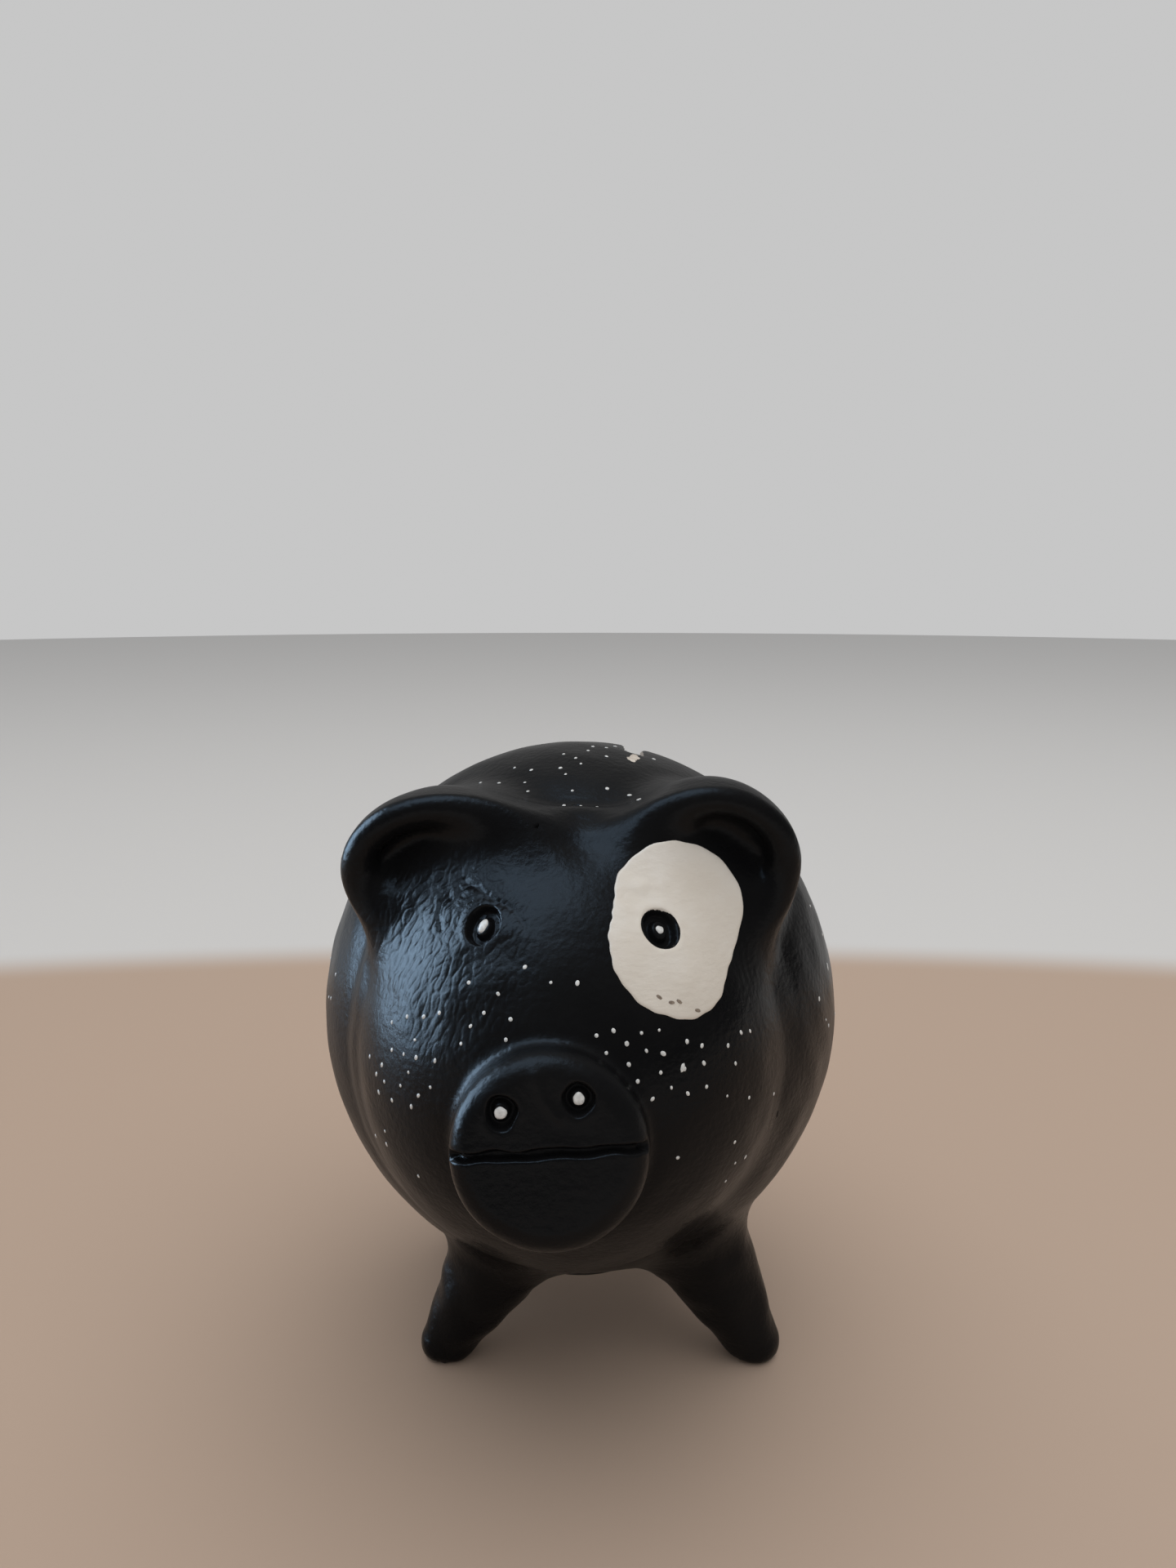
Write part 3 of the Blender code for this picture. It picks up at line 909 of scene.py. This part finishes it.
def patch_thickness(points, edge):
    """Brushed cream paint: thin at both edges, with lumps over the eye."""
    inner, outer = PATCH_EDGES
    rim = np.clip(np.minimum(edge / inner, (1 - edge) / outer), 0, 1)
    lumps, spread = PATCH_LUMPS
    near = np.exp(-((np.linalg.norm(points - lumps, axis=1) / spread) ** 2))
    strokes = PATCH_STROKE_RISE * waves(points * PATCH_STROKE_STRETCH, PATCH_STROKE_LENGTH, SEED + 6)
    lumpy = near * np.maximum(waves(points, PATCH_LUMP_LENGTH, SEED + 7), PATCH_LUMP_LOWEST)
    return PATCH_THICKNESS * (np.sqrt(rim) * (1 + strokes + PATCH_LUMP_RISE * lumpy) - PATCH_SINK)


def patch_reach(turn):
    """How far the patch reaches from the eye at an angle: a smooth closed curve through PATCH_REACH."""
    parts = np.fft.rfft(PATCH_REACH) / len(PATCH_REACH)
    total = np.full(np.shape(turn), parts[0].real)
    for number, part in enumerate(parts[1:-1], 1):
        total = total + 2 * (part * np.exp(1j * number * turn)).real
    return MM * total


def build_patch():
    """The cream patch round the left eye, with the eye's ring left black."""
    turn = turns_round(PATCH_SPOKES)
    reach = patch_reach(turn)
    for height, count, phase in PATCH_RIPPLES:
        reach += height * np.sin(count * turn + phase)
    place, normal = EYES[1]
    return spots("eye_patch", [place], [normal], [reach], PATCH_RINGS, patch_thickness, PATCH_HOLE)


def on_core(points):
    """The level of a stamp's core."""
    return np.full(len(points), -STAMP_CORE_DROP)


def uneven_edge(turn, phase, heights):
    """The unevenness of a small hand-made edge: three waves round it, and five."""
    return heights[0] * np.sin(3 * turn + phase) + heights[1] * np.sin(5 * turn)


def build_dabs():
    """White paint in the eyes' and the nostrils' cores."""
    turn = turns_round(DAB_SPOKES)
    places, normals = zip(*EYES, *NOSES)
    reaches = []
    for number, (across, up) in enumerate(DAB_REACHES):
        reaches.append(MM * (oval(turn, across, up) + uneven_edge(turn, number, DAB_WOBBLE)))
    paint = domed(DAB_THICKNESS)
    return spots("white_dabs", places, normals, reaches, DAB_RINGS, paint, ground=on_core)


def scattered(random):
    """Places and normals for the freckles, no two too near."""
    found = []
    for shape, count, (bearing, elevation), (wide, high), slant in FRECKLE_AREAS:
        enough = len(found) + count
        while len(found) < enough:
            aside, up = random.uniform(-1, 1, 2)
            if math.hypot(aside, up) > 1:
                continue
            way = towards(bearing + wide * aside, elevation + high * up - slant * wide * aside)
            place, normal = on_egg(shape, way)
            nearest = min([np.linalg.norm(place - other) for other, _ in found], default=1)
            if nearest >= FRECKLE_GAP and on_open_paint(place, shape):
                found.append((place, normal))
    return found


def on_open_paint(place, shape):
    """Whether a freckle on this egg would show: clear of the other parts, the patch and the openings."""
    point = place[None]
    if abs(clay(point)[0]) > FRECKLE_OFF_CLAY or snout(point)[0] < CLEAR_OF["snout"]:
        return False
    if np.linalg.norm(place - EYES[0][0]) < CLEAR_OF["eye"] or tail(point)[0] < CLEAR_OF["tail"]:
        return False
    if shape is BALL:
        return slot_gap(point)[0] > CLEAR_OF["slot"]
    return not in_patch(place)


def in_patch(place):
    """Whether a place lies on the cream patch."""
    eye, normal = EYES[1]
    right = unit(np.cross(at(0, 0, 1), normal))
    offset = place - eye
    across, up = offset @ right, offset @ np.cross(normal, right)
    return math.hypot(across, up) < patch_reach(math.atan2(up, across)) + CLEAR_OF["patch"]


def build_freckles():
    """White dots flicked and dabbed on with the tip of a brush."""
    random = np.random.default_rng(SEED)
    found = scattered(random)
    count = len(found)
    size = random.uniform(*FRECKLE_RADIUS, count)
    stretch = random.uniform(*FRECKLE_STRETCH, count)
    lean = random.normal(*FRECKLE_LEAN, count)
    dots = list(zip(size, stretch, lean))
    for shape, angles, length in STREAKS:
        found.append(on_egg(shape, towards(*angles)))
        dots.append((STREAK_RADIUS, length, STREAK_LEAN))
    turn = turns_round(FRECKLE_SPOKES)
    reaches = [size * oval(turn - lean, stretch) for size, stretch, lean in dots]
    places, normals = zip(*found)
    return spots("freckles", places, normals, reaches, FRECKLE_RINGS, domed(FRECKLE_THICKNESS))


def on_patch(points, edge):
    """A level thickness that brings a fleck to the top of the patch."""
    return np.full(len(points), FLECK_RISE)


def build_flecks():
    """A few brown flecks where the cream paint missed the clay."""
    random = np.random.default_rng(SEED + 1)
    ways = [at(across, FLECK_FORWARD, up) - HEAD_CENTRE for across, up in FLECKS]
    places, normals = zip(*[on_egg(HEAD, way) for way in ways])
    lean = random.uniform(*FLECK_LEAN, len(places))[:, None]
    reaches = FLECK_RADIUS * oval(turns_round(FRECKLE_SPOKES) - lean, FLECK_STRETCH)
    return spots("patch_flecks", places, normals, reaches, FRECKLE_RINGS, on_patch)


# Bare clay where the black paint has chipped off in front of the slot: across, back and two reaches in mm.
CHIP_THICKNESS = 0.12 * MM
CHIP_LEAN = 0.5
CHIP_WOBBLE = (0.16, 0.10)
CHIPS = ((0.208, -0.115, 1.7, 1.0), (0.196, -0.155, 1.5, 1.0))


def build_chips():
    """Chips in the paint, as thin spots of bare clay on it."""
    turn = turns_round(DAB_SPOKES)
    places, reaches = [], []
    for number, (across, back, wide, long) in enumerate(CHIPS):
        places.append((across, back, BALL_SIZE[2] * math.sqrt(1 - across**2 - back**2)))
        share = 1 + uneven_edge(turn, 2 * number, CHIP_WOBBLE)
        reaches.append(MM * oval(turn - CHIP_LEAN, wide, long) * share)
    normals = unit(np.array(places) / BALL_SIZE**2)
    return spots("slot_chips", places, normals, reaches, DAB_RINGS, domed(CHIP_THICKNESS))


# The rubber stopper, in metres up from its flange's underside. Its outline has steps in from the neck and down
# from the top, steps out from and up from each rib and ring, and shares of the flange's radius in its dish.
STOPPER_SEGMENTS = 144
STOPPER_CLEARANCE = 0.0003
STOPPER_SHARP_ANGLE = math.radians(45)
STOPPER_MIDDLE = 0.3
STOPPER_TOP = ((0.0030, 0.0012), (0.0022, 0.0002), (0.0016, 0), (0.0008, 0.0002), (0.0002, 0.0009))
RIB_RISE = 0.00015
RIBS = (0.0075, 0.0055, 0.0035)
RIB_STEPS = ((0, 0.0006), (RIB_RISE, 0.0002), (RIB_RISE, -0.0002), (0, -0.0006))
NECK_FOOT = 0.0002
FLANGE_THICKNESS = 0.0020
FLANGE_EDGE = 0.0005
FLANGE_EDGE_STEPS = 8
FLANGE_RINGS = (0.78, 0.62)
RING_STEPS = ((0.0004, 0), (0.00015, 0.0003), (-0.00015, 0.0003), (-0.0004, 0))
DISH = ((0.46, 0), (0.43, 0.0002), (0.36, 0.0009), (0.30, 0.0010))


def stopper_profile(flange_radius, neck_radius, height):
    """The outline from the middle of the top, down the neck and round the flange, to the dished middle."""
    neck = neck_radius - RIB_RISE
    outline = [(STOPPER_MIDDLE * neck, height - STOPPER_TOP[0][1])]
    outline += [(neck - inwards, height - down) for inwards, down in STOPPER_TOP]
    for rib in RIBS:
        outline += [(neck + out, rib + up) for out, up in RIB_STEPS]
    outline += [(neck, FLANGE_THICKNESS + NECK_FOOT), (neck + NECK_FOOT, FLANGE_THICKNESS)]
    for step in range(FLANGE_EDGE_STEPS + 1):
        turn = math.pi * (0.5 - step / FLANGE_EDGE_STEPS)
        across = flange_radius - FLANGE_EDGE * (1 - math.cos(turn))
        outline.append((across, FLANGE_THICKNESS / 2 * (1 + math.sin(turn))))
    for ring in FLANGE_RINGS:
        outline += [(ring * flange_radius + out, up) for out, up in RING_STEPS]
    return outline + [(share * flange_radius, up) for share, up in DISH]


def build_stopper():
    """A black rubber plug with sealing ribs and a dished, ringed flange."""
    low, high = map(np.array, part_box("coin_stopper"))
    neck_radius = HOLE_RADIUS * RADIUS - STOPPER_CLEARANCE
    profile = stopper_profile((high[0] - low[0]) / 2, neck_radius, high[2] - low[2])
    turn = turns_round(STOPPER_SEGMENTS)
    circle = np.column_stack((np.cos(turn), np.sin(turn), 0 * turn))
    foot = np.append((low + high)[:2] / 2, low[2])
    points = np.concatenate([foot + radius * circle + (0, 0, up) for radius, up in profile])
    rings = np.arange(len(points)).reshape(len(profile), -1)
    faces = []
    for upper, lower in zip(rings, rings[1:]):
        faces += zip(upper, lower, np.roll(lower, -1), np.roll(upper, -1))
    faces += [rings[0], rings[-1][::-1]]
    obj = new_object("rubber_stopper", (points - CENTRE) / RADIUS, faces)
    obj.data.set_sharp_from_angle(angle=STOPPER_SHARP_ANGLE)
    return obj


# Materials. Scales are per metre and bump heights are in metres.
MIDDLE_OF_NOISE = (0.3, 0.7)


def add_node(nodes, kind, inputs=None):
    """A new node, with some of its inputs set."""
    node = nodes.new(kind)
    for name, value in (inputs or {}).items():
        node.inputs[name].default_value = value
    return node


def add_range(nodes, start, end):
    """A node that takes one range of values to another."""
    low, high = start
    inputs = {"From Min": low, "From Max": high, "To Min": end[0], "To Max": end[1]}
    return add_node(nodes, "ShaderNodeMapRange", inputs)


class Finish:
    """A node material, built up step by step round its shader."""

    def __init__(self, name):
        self.material = bpy.data.materials.new(name)
        self.material.use_nodes = True
        self.nodes = self.material.node_tree.nodes
        self.links = self.material.node_tree.links
        self.shader = self.nodes["Principled BSDF"]
        self.relief = None

    def noise(self, scale, detail, stretch=None):
        """Noise in the object's own space, stretched if asked."""
        place = self.nodes.new("ShaderNodeTexCoord")
        texture = add_node(self.nodes, "ShaderNodeTexNoise", {"Scale": scale, "Detail": detail})
        source = place.outputs["Object"]
        if stretch:
            mapping = add_node(self.nodes, "ShaderNodeMapping", {"Scale": stretch})
            self.links.new(source, mapping.inputs["Vector"])
            source = mapping.outputs["Vector"]
        self.links.new(source, texture.inputs["Vector"])
        return texture.outputs["Fac"]

    def colour(self, factor, *stops):
        """Takes the base colour from a factor, through colour stops."""
        ramp = self.nodes.new("ShaderNodeValToRGB")
        elements = ramp.color_ramp.elements
        while len(elements) < len(stops):
            elements.new(0.5)
        for element, (position, colour) in zip(elements, stops):
            element.position = position
            element.color = (*colour, 1)
        self.links.new(factor, ramp.inputs["Fac"])
        self.links.new(ramp.outputs["Color"], self.shader.inputs["Base Color"])

    def roughness(self, factor, low, high=None):
        """Takes the roughness from a factor's middle range, from low to high, or sets it to low."""
        if high is None:
            self.shader.inputs["Roughness"].default_value = low
            return
        remap = add_range(self.nodes, MIDDLE_OF_NOISE, (low, high))
        self.links.new(factor, remap.inputs["Value"])
        self.links.new(remap.outputs["Result"], self.shader.inputs["Roughness"])

    def bump(self, height, distance):
        """Adds a layer of bump on top of any other."""
        layer = add_node(self.nodes, "ShaderNodeBump", {"Strength": 1, "Distance": distance})
        self.links.new(height, layer.inputs["Height"])
        if self.relief:
            self.links.new(self.relief, layer.inputs["Normal"])
        self.relief = layer.outputs["Normal"]
        self.links.new(self.relief, self.shader.inputs["Normal"])


# Each finish: its broad noise, the colours and the roughness that follow it, and its layers of bump. A noise is
# a scale, a detail and maybe a stretch.
FINISHES = {
    # Brushed black acrylic over hand-smoothed clay: a low sheen with a leathery grain.
    "black_acrylic": {
        "noise": (45, 4),
        "colours": ((0.3, (0.0050, 0.0052, 0.0060)), (0.7, (0.0085, 0.0086, 0.0092))),
        "roughness": (0.24, 0.38),
        "bumps": (((900, 5), 0.00011), ((260, 3, (1, 1, 3)), 0.00005)),
    },
    # Bare pale fired clay.
    "raw_clay": {
        "noise": (500, 4),
        "colours": ((0.3, (0.50, 0.43, 0.36)), (0.7, (0.68, 0.62, 0.55))),
        "roughness": (0.9,),
        "bumps": (((500, 4), 0.0001),),
    },
    # Thick cream acrylic, with broad random blotches of a darker, browner cream.
    "cream_acrylic": {
        "noise": (60, 5),
        "colours": ((0.3, (0.66, 0.60, 0.52)), (0.5, (0.73, 0.68, 0.61)), (0.7, (0.79, 0.76, 0.71))),
        "roughness": (0.42, 0.55),
        "bumps": (((700, 4, (1, 1, 2.5)), 0.00008),),
    },
    # Dabbed white acrylic.
    "white_acrylic": {
        "noise": (1500, 4),
        "colours": ((0.3, (0.55, 0.56, 0.56)), (0.65, (0.82, 0.83, 0.82))),
        "roughness": (0.45,),
        "bumps": (((1500, 4), 0.0001),),
    },
    # The brown ground that shows through the patch.
    "brown_fleck": {
        "noise": (2500, 3),
        "colours": ((0.3, (0.16, 0.12, 0.09)), (0.7, (0.34, 0.28, 0.22))),
        "roughness": (0.6,),
        "bumps": (),
    },
    # Moulded rubber with a faint bloom.
    "black_rubber": {
        "noise": (220, 5),
        "colours": ((0.35, (0.012, 0.012, 0.012)), (0.75, (0.030, 0.029, 0.028))),
        "roughness": (0.55, 0.75),
        "bumps": (((3000, 2), 0.00003),),
    },
}
PAINT_IOR = 1.20


def finish_named(name):
    """The material of one of the finishes."""
    looks, finish = FINISHES[name], Finish(name)
    broad = finish.noise(*looks["noise"])
    finish.colour(broad, *looks["colours"])
    finish.roughness(broad, *looks["roughness"])
    for grain, height in looks["bumps"]:
        finish.bump(finish.noise(*grain), height)
    if name == "black_acrylic":
        finish.shader.inputs["IOR"].default_value = PAINT_IOR
    return finish.material


# The stage and the light, in body radii.
FLOOR_REACH = 60
FLOOR_CORNERS = 96
FLOOR_COLOURS = ((0.0, (0.53, 0.41, 0.33)), (1.0, (0.70, 0.70, 0.70)))
FLOOR_ROUGHNESS = 0.8
MAT_REACH = (4.6, 5.3)
MAT_WIDTH = 2.4
ROOM_AHEAD = 0.035
ROOM_BEHIND = 0.36
ROOM_FILL = 0.38
ROOM_BRIGHT_WAY = (0, 0.8, 0.6)
ROOM_SPAN = (0.1, 1.1)
WINDOW_PLACE = at(-17, -3, 4.7)
WINDOW_SIZE = (0.5, 0.8)
WINDOW_POWER = 21
SKYLIGHT_PLACE = at(-5.5, 2, 18)
SKYLIGHT_POWER = 7
WINDOW_COLOUR = (0.50, 0.73, 1.0)
CEILING_PLACE = at(2, 5, 24)
CEILING_SIZE = (1.6, 1.6)
CEILING_POWER = 9
CEILING_COLOUR = (1.0, 0.98, 0.95)
ROOM_COLOUR = (1.0, 0.99, 0.98, 1)
ROOM_SEEN = (0.57, 0.57, 0.57, 1)
CAMERA_PLACE = at(0.03, 4.527, 1.67)
CAMERA_PITCH = math.radians(80)
CAMERA_LENS = 27.09
CAMERA_SENSOR = 36


def build_stage():
    """A plain pale floor, warm round the bank and grey beyond, as a table top in a pale room."""
    reach = FLOOR_REACH * RADIUS
    bpy.ops.mesh.primitive_circle_add(vertices=FLOOR_CORNERS, radius=reach, fill_type="NGON")
    floor = bpy.context.object
    floor.name = "floor"
    pale = Finish("pale_floor")
    nodes, links = pale.nodes, pale.links
    place = nodes.new("ShaderNodeTexCoord")
    squeeze = add_node(nodes, "ShaderNodeMapping", {"Scale": (1 / MAT_WIDTH, 1, 1)})
    links.new(place.outputs["Object"], squeeze.inputs["Vector"])
    length = nodes.new("ShaderNodeVectorMath")
    length.operation = "LENGTH"
    links.new(squeeze.outputs["Vector"], length.inputs[0])
    away = add_range(nodes, (MAT_REACH[0] * RADIUS, MAT_REACH[1] * RADIUS), (0, 1))
    away.interpolation_type = "SMOOTHSTEP"
    links.new(length.outputs["Value"], away.inputs["Value"])
    pale.colour(away.outputs["Result"], *FLOOR_COLOURS)
    pale.shader.inputs["Roughness"].default_value = FLOOR_ROUGHNESS
    pale.shader.inputs["Specular IOR Level"].default_value = 0.0
    floor.data.materials.append(pale.material)


def build_world():
    """A room that is bright behind the bank and dim in front of it, and plain grey to look at."""
    world = bpy.data.worlds.new("soft_room")
    bpy.context.scene.world = world
    world.use_nodes = True
    nodes, links = world.node_tree.nodes, world.node_tree.links
    place = nodes.new("ShaderNodeTexCoord")
    facing = add_node(nodes, "ShaderNodeVectorMath", {1: ROOM_BRIGHT_WAY})
    facing.operation = "DOT_PRODUCT"
    links.new(place.outputs["Generated"], facing.inputs[0])
    strength = add_range(nodes, ROOM_SPAN, (ROOM_AHEAD, ROOM_BEHIND))
    strength.interpolation_type = "SMOOTHSTEP"
    links.new(facing.outputs["Value"], strength.inputs["Value"])
    rays = nodes.new("ShaderNodeLightPath")
    filled = add_node(nodes, "ShaderNodeMath", {1: ROOM_FILL})
    filled.operation = "MULTIPLY_ADD"
    links.new(rays.outputs["Is Diffuse Ray"], filled.inputs[0])
    links.new(strength.outputs["Result"], filled.inputs[2])
    room = nodes["Background"]
    room.inputs["Color"].default_value = ROOM_COLOUR
    links.new(filled.outputs["Value"], room.inputs["Strength"])
    seen = add_node(nodes, "ShaderNodeBackground", {"Color": ROOM_SEEN})
    mixed = nodes.new("ShaderNodeMixShader")
    links.new(rays.outputs["Is Camera Ray"], mixed.inputs["Fac"])
    links.new(room.outputs["Background"], mixed.inputs[1])
    links.new(seen.outputs["Background"], mixed.inputs[2])
    links.new(mixed.outputs["Shader"], nodes["World Output"].inputs["Surface"])


def add_lamp(name, place, size, power, colour):
    """A soft rectangular lamp aimed at the bank."""
    light = bpy.data.lights.new(name, "AREA")
    light.shape = "RECTANGLE"
    light.size, light.size_y = size
    light.energy = power
    light.color = colour
    lamp = bpy.data.objects.new(name, light)
    lamp.location = to_metres(place)
    aim = Vector(to_metres((0, 0, 0))) - lamp.location
    lamp.rotation_euler = aim.to_track_quat("-Z", "Y").to_euler()
    bpy.context.scene.collection.objects.link(lamp)
    return lamp


def build_light():
    """Blue windows that only glint on the paint, and soft light from above that leaves no glare on it."""
    build_world()
    window = add_lamp("window", WINDOW_PLACE, WINDOW_SIZE, WINDOW_POWER, WINDOW_COLOUR)
    skylight = add_lamp("skylight", SKYLIGHT_PLACE, WINDOW_SIZE, SKYLIGHT_POWER, WINDOW_COLOUR)
    for lamp in (window, skylight):
        lamp.visible_diffuse = False
    ceiling = add_lamp("ceiling", CEILING_PLACE, CEILING_SIZE, CEILING_POWER, CEILING_COLOUR)
    ceiling.visible_glossy = False


def build_camera():
    """A camera close in front of the snout, looking a little down."""
    camera = bpy.data.cameras.new("camera")
    camera.lens = CAMERA_LENS
    camera.sensor_width = CAMERA_SENSOR
    obj = bpy.data.objects.new("camera", camera)
    obj.location = to_metres(CAMERA_PLACE)
    obj.rotation_euler = (CAMERA_PITCH, 0, 0)
    bpy.context.scene.collection.objects.link(obj)
    bpy.context.scene.camera = obj


def main():
    """Builds the scene and tells the frame what each piece replaces and rides on."""
    bpy.context.scene.view_settings.view_transform = "Standard"
    build_camera()
    build_light()
    build_stage()
    paint, bare, white = map(finish_named, ("black_acrylic", "raw_clay", "white_acrylic"))
    replaced = {"body": ("front_bowl", "rear_bowl"), "head": ("head_dome",)}
    for name, obj in build_clay().items():
        obj.data.materials.append(paint)
        obj.data.materials.append(bare)
        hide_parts(*replaced.get(name, (name,)))
        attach(obj, "bank")
    laid_on = (
        (build_patch(), finish_named("cream_acrylic")),
        (build_dabs(), white),
        (build_freckles(), white),
        (build_flecks(), finish_named("brown_fleck")),
        (build_chips(), bare),
    )
    for obj, material in laid_on:
        obj.data.materials.append(material)
        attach(obj, "bank")
    stopper = build_stopper()
    stopper.data.materials.append(finish_named("black_rubber"))
    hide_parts("coin_stopper")
    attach(stopper, "stopper")


main()
